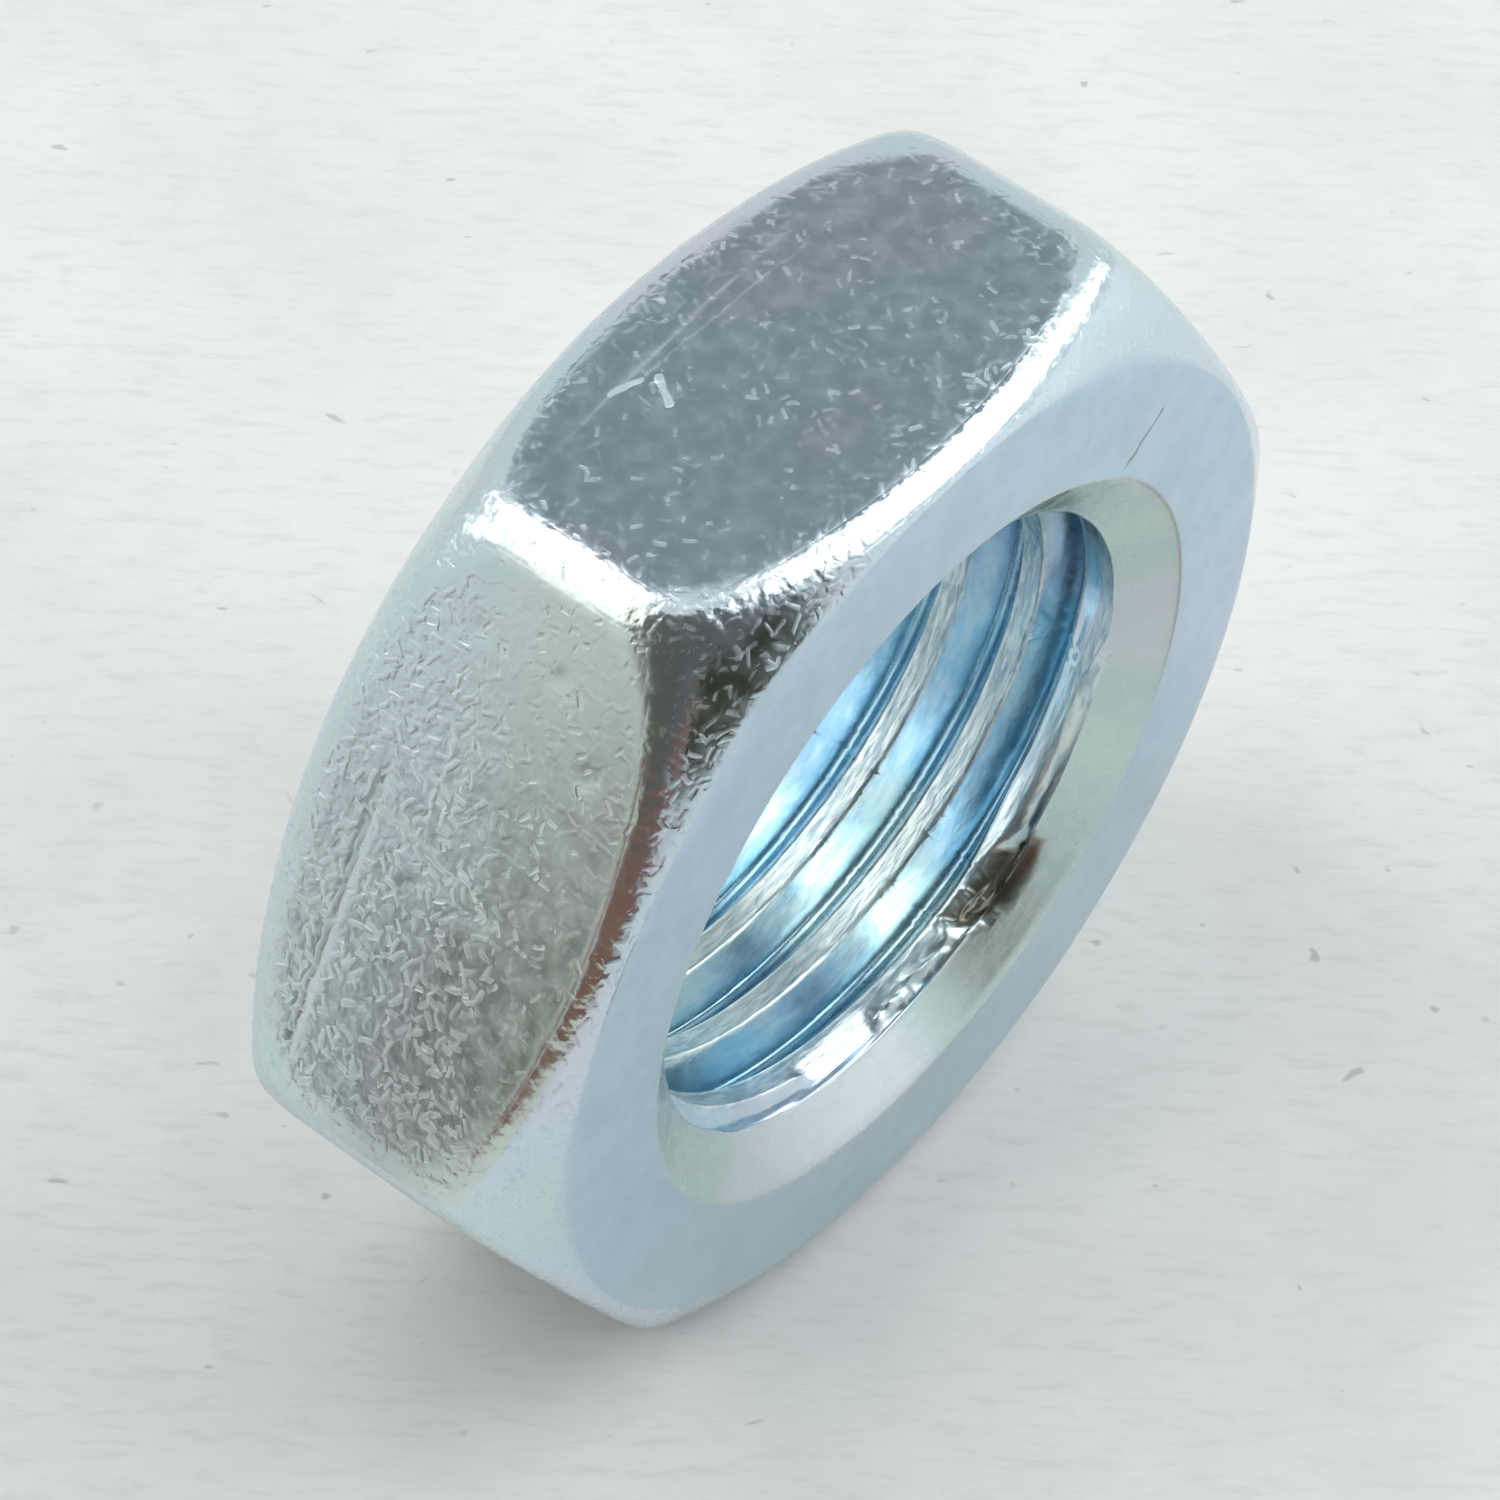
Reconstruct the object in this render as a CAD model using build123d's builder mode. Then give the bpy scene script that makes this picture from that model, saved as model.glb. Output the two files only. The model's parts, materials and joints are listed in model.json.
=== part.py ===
"""Hexagon thin nut (jam nut), M22 x 2.5, 32 across flats, made as one solid.

The nut stands on one of its six flats. The bore runs along Y, the flat it rests on
faces -Z, and the origin is the centre of the bore at half thickness.
"""

import os
from math import ceil, cos, radians, sin, sqrt, tan

from build123d import *
from build123d.topology import SkipClean

# Hexagon, in millimetres and degrees.
across_flats = 32.0
thickness = 11.0
corner_radius = 1.7           # rounding where two flats meet
chamfer_angle = 30.0          # chamfer cone against the bearing face
chamfer_setback = 0.65        # bearing face circle inside the flats
edge_rounding = 0.88          # share of the chamfer's narrowest width that its rounding takes up

# Thread: ISO metric, right-hand.
nominal_diameter = 22.0
pitch = 2.5
profile_angle = 60.0          # included angle of the groove
crest_allowance = 0.2         # minor diameter above its basic size, inside tolerance 6H
thread_start_angle = 14.0     # where the groove crosses the -Y bearing face, from +X to +Z
cutter_overlap = 0.15         # how far the groove cutter reaches past the crest

# Countersinks, one at each end of the bore.
mouth_clearance = 1.6         # countersink mouth over the nominal diameter
countersink_angle = 110.0     # included angle

HEXAGON_SIDES = 6
BORE_QUARTERS = 4
HELIX_START_ANGLE = 90.0      # a helix about +Y starts on its +Z side

half_thickness = thickness / 2
inscribed_radius = across_flats / 2
corner_reach = across_flats / sqrt(3)
bearing_radius = inscribed_radius - chamfer_setback
chamfer_depth = (corner_reach - bearing_radius) * tan(radians(chamfer_angle))
chamfer_width = chamfer_setback / cos(radians(chamfer_angle))
edge_radius = edge_rounding * chamfer_width / tan(radians((90 - chamfer_angle) / 2))

root_radius = nominal_diameter / 2
flank_slope = tan(radians(profile_angle / 2))
triangle_height = pitch / (2 * flank_slope)
minor_radius = root_radius - 5 / 8 * triangle_height + crest_allowance / 2
root_half_width = pitch / 16
mouth_radius = root_radius + mouth_clearance / 2
countersink_depth = (mouth_radius - minor_radius) / tan(radians(countersink_angle / 2))


def turned_section(end_radius: float, end_depth: float, middle_radius: float) -> list:
    """Corners of the half section of a turned form about Y, the same at both ends.

    Args:
        end_radius: radius on the bearing faces.
        end_depth: length along Y over which the radius changes.
        middle_radius: radius between the two ends.
    """
    return [
        (0, -half_thickness),
        (end_radius, -half_thickness),
        (middle_radius, end_depth - half_thickness),
        (middle_radius, half_thickness - end_depth),
        (end_radius, half_thickness),
        (0, half_thickness),
    ]


def axial_plane(angle: float) -> Plane:
    """Plane that holds the bore axis: x points outward at this angle, y runs along +Y."""
    outward = (cos(radians(angle)), 0, sin(radians(angle)))
    normal = (-sin(radians(angle)), 0, cos(radians(angle)))
    return Plane(origin=(0, 0, 0), x_dir=outward, z_dir=normal)


os.makedirs("parts", exist_ok=True)

# Turned envelope whose ends are the two chamfer cones.
with BuildPart() as chamfer_envelope:
    with BuildSketch(Plane.XY):
        with BuildLine():
            Polyline(*turned_section(bearing_radius, chamfer_depth, corner_reach), close=True)
        make_face()
    revolve(axis=Axis.Y)

# The groove starts ahead of the -Y face and is cut turn by turn until it is past the +Y face.
start_lead = pitch * (1 - (thread_start_angle - HELIX_START_ANGLE) / 360)
groove_turns = ceil((thickness + start_lead) / pitch) + 1
groove_depth = root_radius - minor_radius + cutter_overlap
groove_half_width = root_half_width + groove_depth * flank_slope

with BuildPart() as jam_nut:
    # Hexagon with rounded corners, its ends chamfered and the chamfers' edges rounded.
    with BuildSketch(Plane.XZ):
        RegularPolygon(radius=inscribed_radius, side_count=HEXAGON_SIDES, major_radius=False)
        fillet(vertices(), radius=corner_radius)
    extrude(amount=half_thickness, both=True)
    add(chamfer_envelope.part, mode=Mode.INTERSECT)
    chamfer_edges = edges().filter_by(GeomType.HYPERBOLA) + edges().filter_by(GeomType.BSPLINE)
    fillet(chamfer_edges, radius=edge_radius)

    # The bore is cut a quarter turn at a time and its walls are kept as quarter faces.
    with SkipClean():
        for quarter in range(BORE_QUARTERS):
            with BuildSketch(axial_plane(quarter * 360 / BORE_QUARTERS)):
                with BuildLine():
                    Polyline(*turned_section(mouth_radius, countersink_depth, minor_radius), close=True)
                make_face()
            revolve(axis=Axis.Y, revolution_arc=360 / BORE_QUARTERS, mode=Mode.SUBTRACT)
        for turn in range(groove_turns):
            turn_start = turn * pitch - start_lead - half_thickness
            with BuildLine() as groove_turn:
                Helix(
                    pitch=pitch,
                    height=pitch,
                    radius=root_radius,
                    center=(0, turn_start, 0),
                    direction=(0, 1, 0),
                )
            path = groove_turn.line
            with BuildSketch(Plane(origin=path @ 0, x_dir=(0, 0, 1), z_dir=path % 0)):
                with BuildLine():
                    Polyline(
                        (0, -root_half_width),
                        (0, root_half_width),
                        (-groove_depth, groove_half_width),
                        (-groove_depth, -groove_half_width),
                        close=True,
                    )
                make_face()
            sweep(path=path, is_frenet=True, mode=Mode.SUBTRACT)

jam_nut.part.label = "jam_nut"
export_step(jam_nut.part, "parts/jam_nut.step")
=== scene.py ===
"""Dressed model of a zinc-plated hexagon thin nut, with its ground, lights and camera.

Lengths in the classes are millimetres and angles are degrees, and meshes are written in metres.
The bore runs along Y, and the nut stands on the flat that faces -Z. Angles around the bore are
counted from +X towards +Z.
"""

import json
import logging
import math
from dataclasses import dataclass, field
from enum import IntEnum
from typing import Iterable, Optional

import bpy
import numpy as np
from mathutils import Matrix, Vector

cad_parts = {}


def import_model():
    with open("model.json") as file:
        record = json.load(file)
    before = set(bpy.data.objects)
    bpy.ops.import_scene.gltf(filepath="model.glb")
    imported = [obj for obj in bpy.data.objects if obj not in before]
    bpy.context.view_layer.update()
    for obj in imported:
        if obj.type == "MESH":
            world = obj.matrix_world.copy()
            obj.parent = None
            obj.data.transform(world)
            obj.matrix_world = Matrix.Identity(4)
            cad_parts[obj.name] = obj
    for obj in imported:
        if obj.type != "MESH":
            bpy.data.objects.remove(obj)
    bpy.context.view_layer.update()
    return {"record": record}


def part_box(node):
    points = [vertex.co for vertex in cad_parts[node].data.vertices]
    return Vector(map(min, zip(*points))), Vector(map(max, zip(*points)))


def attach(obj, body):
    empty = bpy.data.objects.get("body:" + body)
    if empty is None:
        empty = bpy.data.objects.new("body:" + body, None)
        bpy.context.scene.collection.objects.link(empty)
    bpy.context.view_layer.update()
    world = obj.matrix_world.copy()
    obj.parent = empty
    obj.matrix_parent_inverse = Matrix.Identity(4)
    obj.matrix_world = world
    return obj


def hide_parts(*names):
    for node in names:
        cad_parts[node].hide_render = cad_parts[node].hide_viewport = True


LOG = logging.getLogger("jam_nut")
MM = 0.001
NODE = "jam_nut"
BODY = "root"
PIECE = "jam_nut_plated"
SIDES = 6
MID_GREY = (0.5, 0.5, 0.5)
WARM = (1.0, 0.99, 0.97)
COOL = (0.97, 0.99, 1.0)
HASH_CELL = (73856093, 19349663, 83492791)
HASH_SEED = 2654435761
HASH_MIX = 1274126177
SIDE_ANGLE = 60.0
HALF_SIDE = 30.0

Array = np.ndarray
Socket = bpy.types.NodeSocket
Colour = tuple[float, float, float, float]
Point = tuple[float, float, float]
Span = tuple[float, float]
Window = tuple[Span, Span]


class Zone(IntEnum):
    """The surfaces that differ in how they were made, in the order of the section."""

    FACE = 0
    CHAMFER = 1
    FLAT = 2
    SINK = 3
    THREAD = 4


class Inside(IntEnum):
    """The shares of the bore's surfaces that each point stores."""

    SINK = 0
    FLANK = 1
    CREST = 2


class Wear(IntEnum):
    """The shares of the tumbling marks that each point stores."""

    STROKES = 0
    FLECKS = 1
    SWELL = 2


class Tone(IntEnum):
    """Shares of the green and pink tints, the green partly painted reflection, and of brown dirt
    and painted shade.
    """

    GREEN = 0
    PINK = 1
    DIRT_AND_SHADE = 2


class Flat(IntEnum):
    """The wrench flats as seen from the front, numbered from the one at 30 degrees."""

    UPPER_RIGHT = 0
    TOP = 1
    UPPER_LEFT = 2
    LOWER_LEFT = 3
    BOTTOM = 4
    LOWER_RIGHT = 5


class Seed(IntEnum):
    """The random fields, each with a seed of its own. Facets take up the next two as well."""

    BURR = 5
    SWAY = 11
    RIPPLE = 12
    PITS = 13
    STROKES = 21
    UNEVEN = 24
    TEAR = 31
    FINE_TEAR = 36
    DRIFT = 41
    FINE_DRIFT = 42
    DIRT_AND_SHADE = 43


OUTSIDE = (Zone.FACE, Zone.CHAMFER, Zone.FLAT)


def smoothstep(low: float, high: float, value: Array) -> Array:
    """Ease from 0 at low to 1 at high.

    Args:
        low: Value at which the result leaves 0.
        high: Value at which the result reaches 1.
        value: Values to ease.

    Returns:
        The eased values.
    """
    part = np.clip((value - low) / (high - low), 0.0, 1.0)
    return part * part * (3.0 - 2.0 * part)


def window(rise: Span, fall: Span, value: Array) -> Array:
    """Ease from 0 to 1 and back.

    Args:
        rise: Where the result leaves 0, and where it reaches 1.
        fall: Where it leaves 1, and where it is 0 again.
        value: Values to ease.

    Returns:
        1 between the two ends, 0 outside them.
    """
    return smoothstep(*rise, value) * (1.0 - smoothstep(*fall, value))


def bell(gap: Array, width: float) -> Array:
    """Rounded bump: 1 where the gap is 0, fading over its width."""
    return np.exp(-((gap / width) ** 2))


def spaced(spots: Array, weight: Array, count: int, closed: bool = True) -> Array:
    """Place points along a line, closer together where its weight is high.

    Args:
        spots: Positions along the line.
        weight: Weight at each of them.
        count: How many points to place.
        closed: Whether the last point stands at the line's end.

    Returns:
        The points' positions.
    """
    spread = np.concatenate([[0.0], np.cumsum((weight[1:] + weight[:-1]) / 2.0)])
    return np.interp(np.linspace(0.0, spread[-1], count, endpoint=closed), spread, spots)


def bearings(points: Array) -> Array:
    """Angles around the bore of points of shape (n, 3), from -180 to 180."""
    return np.degrees(np.arctan2(points[:, 2], points[:, 0]))


def smooth_max(first: Array, second: Array, width: float) -> Array:
    """Blend two fields at their upper envelope.

    Args:
        first: One field.
        second: The other field.
        width: Difference over which the two are blended.

    Returns:
        The larger field, rounded where the two cross.
    """
    overlap = np.clip(width - np.abs(first - second), 0.0, None) / width
    return np.maximum(first, second) + overlap * overlap * width / 4.0


def cell_value(cell: Array, seed: int) -> Array:
    """Repeatable random value of each cell.

    Args:
        cell: Whole numbers of shape (n, 3).
        seed: Which of the fields to use.

    Returns:
        One value from -1 to 1 for each cell.
    """
    mixed = int(seed) * HASH_SEED ^ np.bitwise_xor.reduce(cell * np.array(HASH_CELL), axis=1)
    mixed = ((mixed ^ (mixed >> 13)) * HASH_MIX) & 0xFFFFFFFF
    return ((mixed ^ (mixed >> 16)) & 0xFFFF) / 32767.5 - 1.0


def lattice_noise(points: Array, seed: int) -> Array:
    """Smooth repeatable noise with one cell per unit.

    Args:
        points: Array of shape (n, 3).
        seed: Which of the noise fields to use.

    Returns:
        One value from -1 to 1 for each point.
    """
    cell = np.floor(points).astype(np.int64)
    part = points - cell
    ease = part * part * (3.0 - 2.0 * part)
    total = np.zeros(len(points))
    for corner in np.ndindex(2, 2, 2):
        share = np.prod(np.where(np.array(corner) == 1, ease, 1.0 - ease), axis=1)
        total += cell_value(cell + np.array(corner), seed) * share
    return total


def facets(points: Array, seed: int) -> Array:
    """Flat facets that each lean their own way, one per cell.

    Args:
        points: Array of shape (n, 3).
        seed: Which of the fields to use.

    Returns:
        The height of the facet at each point, from about -1 to 1.
    """
    cell = np.floor(points).astype(np.int64)
    part = points - cell - 0.5
    lean = sum(cell_value(cell, seed + axis) * part[:, axis] for axis in (0, 1))
    return 0.5 * cell_value(cell, seed + 2) + lean


@dataclass
class HexagonForm:
    """The outside of the nut: six flats cut by a chamfer cone at each bearing face."""

    across_flats: float
    thickness: float
    corner_radius: float = 1.7
    chamfer_angle: float = 30.0
    chamfer_setback: float = 0.65
    edge_radius: float = 1.15
    brim_radius: float = 1.2
    tip_angle: float = 60.0
    tip_radius: float = 17.05
    tip_blend: float = 0.9

    @property
    def inscribed(self) -> float:
        """Distance from the bore's centre to a flat."""
        return self.across_flats / 2.0

    @property
    def half(self) -> float:
        """Half of the thickness."""
        return self.thickness / 2.0

    @property
    def bearing(self) -> float:
        """Radius of the bearing face."""
        return self.inscribed - self.chamfer_setback

    def fold(self, angles: Array) -> Array:
        """Angle from the middle of the nearest flat, for each angle around the bore."""
        return (np.asarray(angles) + 360.0) % SIDE_ANGLE - HALF_SIDE

    def reach(self, angles: Array) -> Array:
        """Radius of the rounded hexagon.

        Args:
            angles: Angles around the bore.

        Returns:
            The outline's radius at each angle.
        """
        half_side = math.radians(HALF_SIDE)
        off_corner = np.radians(HALF_SIDE - np.abs(self.fold(angles)))
        centre = (self.inscribed - self.corner_radius) / math.cos(half_side)
        across = np.clip(self.corner_radius**2 - (centre * np.sin(off_corner)) ** 2, 0.0, None)
        on_arc = centre * np.cos(off_corner) + np.sqrt(across)
        on_flat = self.inscribed / np.cos(half_side - off_corner)
        arc_reach = centre + self.corner_radius * math.cos(half_side)
        arc_end = math.atan2(self.corner_radius / 2.0, arc_reach)
        return np.where(off_corner < arc_end, on_arc, on_flat)

    def rounded_corner(self, first: Array, second: Array, cosine: Array,
                       radius: float) -> Array:
        """Distance outside two half-spaces whose common edge is rounded.

        Args:
            first: Signed distance from one surface.
            second: Signed distance from the other surface.
            cosine: Cosine of the angle between their normals.
            radius: Radius of the rounding.

        Returns:
            The signed distance from the rounded pair.
        """
        one = first + radius
        two = second + radius
        across = np.clip(one**2 + two**2 - 2.0 * one * two * cosine, 0.0, None)
        round_part = np.sqrt(across / np.clip(1.0 - cosine**2, 1e-6, None))
        in_wedge = (one > two * cosine) & (two > one * cosine)
        return np.where(in_wedge, round_part, np.maximum(one, two)) - radius

    def skin(self, points: Array) -> Array:
        """Signed distance from the outside of the nut.

        Args:
            points: Array of shape (n, 3).

        Returns:
            The distance of each point, above 0 outside.
        """
        radius = np.hypot(points[:, 0], points[:, 2])
        folded = np.radians(self.fold(bearings(points)))
        outward = radius * np.cos(folded)
        along = np.abs(radius * np.sin(folded))
        core = self.inscribed - self.corner_radius
        half_side = core * math.tan(math.radians(HALF_SIDE))
        past = np.clip(along - half_side, 0.0, None)
        depth = np.clip(outward - core, 1e-6, None)
        flats = np.where(outward > core, np.hypot(depth, past) - self.corner_radius,
                         outward - self.inscribed)
        lean = np.arctan2(past, depth) - np.abs(folded)
        slope = math.radians(self.chamfer_angle)
        end = np.abs(points[:, 1]) - self.half
        cone = (radius - self.bearing) * math.sin(slope) + end * math.cos(slope)
        square = np.full(len(points), math.cos(slope))
        cap = self.rounded_corner(end, cone, square, self.brim_radius)
        body = self.rounded_corner(cap, flats, math.sin(slope) * np.cos(lean), self.edge_radius)
        steep = math.radians(self.tip_angle)
        tip = (radius - self.tip_radius) * math.sin(steep) + end * math.cos(steep)
        return smooth_max(body, tip, self.tip_blend)

    def settle(self, points: Array, rounds: int = 5) -> Array:
        """Move points along the slope of the distance until they lie on the skin.

        Args:
            points: Array of shape (n, 3), near the skin.
            rounds: How many times they are moved.

        Returns:
            The moved points.
        """
        settled = points.copy()
        step = 1e-3
        for _ in range(rounds):
            slope = np.empty_like(settled)
            for axis in range(3):
                shift = np.zeros(3)
                shift[axis] = step
                rise = self.skin(settled + shift) - self.skin(settled - shift)
                slope[:, axis] = rise / (2.0 * step)
            size = np.clip((slope**2).sum(axis=1, keepdims=True), 0.2, None)
            settled -= self.skin(settled)[:, None] * slope / size
        return settled


@dataclass
class ThreadedBore:
    """The bore: a right-hand internal thread between two countersinks.

    Its windows hold angles around the bore, and first_crest, sink_end and torn_depths hold
    positions along Y. The gouge's centre and reach hold an angle and a length along Y.
    """

    half: float
    minor_radius: float
    nominal_diameter: float = 22.0
    pitch: float = 2.5
    start_angle: float = 14.0
    mouth_clearance: float = 1.6
    countersink_angle: float = 110.0
    crest_round: float = 0.08
    root_round: float = 0.16
    burr_height: float = 0.07
    burr_width: float = 0.10
    lip_shift: float = 0.35
    lip_drop: float = 0.55
    first_crest: Span = (-2.5, -3.2)
    sink_end: Span = (-4.75, -4.30)
    smear_trace: float = -0.10
    smear_slope: float = 6.0
    smear_share: float = 0.79
    tear_height: float = 0.17
    bevel_slope: float = 0.45
    bevel_start: float = -3.3
    gouge_depth: float = 0.22
    gouge_centre: Span = (-56.0, -4.15)
    gouge_reach: Span = (11.0, 0.52)
    gouge_lean: float = 9.0
    flank_angle: float = 30.0
    push_window: Window = ((-62.0, -38.0), (60.0, 110.0))
    drop_window: Window = ((-18.0, 4.0), (60.0, 90.0))
    bevel_window: Window = ((-110.0, -105.0), (-90.0, -85.0))
    torn_window: Window = ((-92.0, -86.0), (-50.0, -44.0))
    torn_depths: Window = ((-4.35, -4.10), (-3.65, -3.40))
    facet_size: Span = (1.2, 0.34)
    crowd_width: float = 0.07
    crowding: float = 2.6
    samples: int = 2201

    @property
    def root_radius(self) -> float:
        """Radius at the bottom of the groove."""
        return self.nominal_diameter / 2.0

    @property
    def mouth_radius(self) -> float:
        """Radius of a countersink where it meets its bearing face."""
        return (self.nominal_diameter + self.mouth_clearance) / 2.0

    @property
    def sink_slope(self) -> float:
        """How fast a countersink's radius changes along the bore."""
        return math.tan(math.radians(self.countersink_angle / 2.0))

    @property
    def root_half(self) -> float:
        """Half of the groove's width at its bottom."""
        return self.pitch / 16.0

    @property
    def crest_start(self) -> float:
        """Distance along the bore from a groove's middle to the crest."""
        run = math.tan(math.radians(self.flank_angle))
        return self.root_half + (self.root_radius - self.minor_radius) * run

    def groove_offset(self, angles: Array, depths: Array) -> Array:
        """Signed distance along the bore from the nearest groove's middle.

        Args:
            angles: Angles around the bore.
            depths: Positions along Y.

        Returns:
            The offsets, from minus half a pitch to half a pitch.
        """
        middle = -self.half + self.pitch * (self.start_angle - angles) / 360.0
        return (depths - middle + self.pitch / 2.0) % self.pitch - self.pitch / 2.0

    def turned_angle(self, angles: Array) -> Array:
        """Angles from -180 to 180."""
        return (np.asarray(angles) + 180.0) % 360.0 - 180.0

    def lip(self, angles: Array, depths: Array) -> tuple[Array, Array]:
        """How far the first crest is pushed along the bore and worn down where it runs out.

        Args:
            angles: Angles around the bore.
            depths: Positions along Y.

        Returns:
            The shift along Y and the drop of the crest.
        """
        turned = self.turned_angle(angles)
        depths = np.asarray(depths, dtype=float)
        early = smoothstep(*self.first_crest, depths)
        inside = smoothstep(*self.sink_end, depths)
        shift = self.lip_shift * window(*self.push_window, turned) * early * inside
        drop = self.lip_drop * window(*self.drop_window, turned) * early
        return shift, drop

    def thread_radius(self, angles: Array, depths: Array) -> Array:
        """Radius of the thread alone, as if it ran on past the countersinks.

        Args:
            angles: Angles around the bore.
            depths: Positions along Y.

        Returns:
            The radius at each position.
        """
        shift, drop = self.lip(angles, depths)
        offset = np.abs(self.groove_offset(angles, depths - shift))
        run = math.tan(math.radians(self.flank_angle))
        flank = self.root_radius - (offset - self.root_half) / run
        topped = -smooth_max(-flank, np.full_like(flank, -self.root_radius), self.root_round)
        return smooth_max(topped, self.minor_radius + drop, self.crest_round)

    def open_thread(self, angles: Array, depths: Array) -> Array:
        """Radius of the thread, smeared shut where the countersinking tool passed over it.

        Args:
            angles: Angles around the bore.
            depths: Positions along Y.

        Returns:
            The radius at each position.
        """
        turned = self.turned_angle(angles)
        # A burnished bevel leads from the countersink onto the first crest beside the torn patch.
        beside = window(*self.bevel_window, turned)
        lead = np.clip(self.bevel_start - depths, 0.0, None)
        bevel = self.minor_radius + self.bevel_slope * lead * beside
        room = np.clip(self.smear_share * self.half - np.abs(depths), 0.0, None)
        limit = self.sink_radius(depths) + self.smear_trace + self.smear_slope * room
        return np.minimum(np.maximum(self.thread_radius(angles, depths), bevel), limit)

    def torn_share(self, angles: Array, depths: Array) -> Array:
        """Where the first thread is torn by the countersink: 1 inside that patch, 0 elsewhere."""
        round_way = window(*self.torn_window, self.turned_angle(angles))
        return round_way * window(*self.torn_depths, depths)

    def tear(self, angles: Array, depths: Array) -> Array:
        """Torn metal where the countersink breaks out the first thread, as a change of radius.

        Args:
            angles: Angles around the bore.
            depths: Positions along Y.

        Returns:
            The change: below 0 for slivers that stand into the bore, above 0 for the gouge.
        """
        turned = self.turned_angle(angles)
        round_way = np.radians(turned) * self.minor_radius
        length, width = self.facet_size
        spots = np.stack([round_way / length, depths / width, np.zeros_like(depths)], axis=-1)
        spots = spots.reshape(-1, 3)
        # The cells are sheared both ways, so that the slivers lie aslant.
        slant = spots + np.array([[0.0, 0.8, 0.0]]) * spots[:, :1]
        slant = slant + np.array([[0.6, 0.0, 0.0]]) * spots[:, 1:2]
        broken = facets(slant, Seed.TEAR) + 0.4 * facets(slant * 2.3 + 0.4, Seed.FINE_TEAR)
        slivers = broken.reshape(depths.shape)
        across = self.pit(turned, depths) + 0.25 * slivers
        # The gouge deepens inwards and fades out towards the front.
        gouge = self.gouge_depth * (1.0 - smoothstep(0.70, 0.95, across))
        deeper = np.clip(1.0 + 1.4 * (depths + 4.20), 0.0, 2.0)
        gouge = gouge * deeper * smoothstep(-4.75, -4.45, depths)
        return gouge - self.tear_height * self.torn_share(angles, depths) * (0.35 + slivers)

    def pit(self, turned: Array, depths: Array) -> Array:
        """Distance from the middle of the gouge, as a share of its size.

        Args:
            turned: Angles around the bore, from -180 to 180.
            depths: Positions along Y.

        Returns:
            The distance: 0 in the middle of the gouge and 1 at its rim.
        """
        inward = depths - self.gouge_centre[1]
        slid = turned - self.gouge_centre[0] + self.gouge_lean * inward
        return np.hypot(slid / self.gouge_reach[0], inward / self.gouge_reach[1])

    def sink_radius(self, depths: Array) -> Array:
        """Radius of the countersink at the nearer end."""
        return self.mouth_radius - (self.half - np.abs(depths)) * self.sink_slope

    def radius(self, angles: Array, depths: Array) -> Array:
        """Radius of the finished bore, with the burr that the countersink leaves on the thread.

        Args:
            angles: Angles around the bore.
            depths: Positions along Y.

        Returns:
            The radius at each position.
        """
        sink = self.sink_radius(depths)
        thread = self.open_thread(angles, depths)
        plain = smooth_max(thread, sink, 0.05)
        turned = np.radians(angles)
        spots = np.stack([np.cos(turned) * 9.0, depths * 2.0, np.sin(turned) * 9.0], axis=-1)
        noise = lattice_noise(spots.reshape(-1, 3), Seed.BURR)
        ragged = np.clip(0.35 + 0.9 * noise, 0.0, 1.2).reshape(plain.shape)
        edge = bell(thread - sink, self.burr_width)
        edge = edge * (np.abs(depths) < self.smear_share * self.half)
        cut = smoothstep(self.minor_radius + 0.05, self.minor_radius + 0.5, thread)
        burr = self.burr_height * ragged * edge * (0.3 + 0.7 * cut)
        return plain - burr + self.tear(angles, depths)

    def landmarks(self, angle: float) -> Array:
        """Positions along the bore where the section turns, at one angle.

        Args:
            angle: Angle around the bore.

        Returns:
            The positions along Y of visible thread corners and of the countersinks' ends.
        """
        depths = np.linspace(-self.half, self.half, self.samples)
        proud = self.open_thread(np.full_like(depths, angle), depths) - self.sink_radius(depths)
        turns = np.nonzero(np.sign(proud[1:]) != np.sign(proud[:-1]))[0]
        share = proud[turns] / (proud[turns] - proud[turns + 1])
        found = list(depths[turns] + share * (depths[turns + 1] - depths[turns]))
        first = -self.half + self.pitch * (self.start_angle - angle) / 360.0
        for lead in range(-2, 8):
            for offset in (-self.crest_start, -self.root_half, self.root_half, self.crest_start):
                place = first + lead * self.pitch + offset
                in_root = abs(offset) < 2.0 * self.root_half
                corner = self.root_radius if in_root else self.minor_radius
                clear = abs(place) < self.smear_share * self.half
                if clear and corner > self.sink_radius(np.array(place)) + 0.02:
                    found.append(place)
        return np.sort(np.array(found))

    def rows(self, angle: float, count: int, inset: float) -> Array:
        """Positions of the section's points, close together where the section turns.

        Args:
            angle: Angle around the bore.
            count: How many points.
            inset: How far the first and last lie inside the bearing faces.

        Returns:
            The positions along Y, from the back face to the front face.
        """
        marks = self.landmarks(angle)
        depths = np.linspace(-self.half + inset, self.half - inset, self.samples)
        near = bell(depths[:, None] - marks[None, :], self.crowd_width).max(axis=1)
        places = spaced(depths, 1.0 + self.crowding * near, count)
        taken: set[int] = set()
        for mark in marks:
            nearest = int(np.abs(places - mark).argmin())
            if 0 < nearest < count - 1 and nearest not in taken:
                taken.add(nearest)
                places[nearest] = mark
        return np.sort(places)[::-1]


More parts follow.
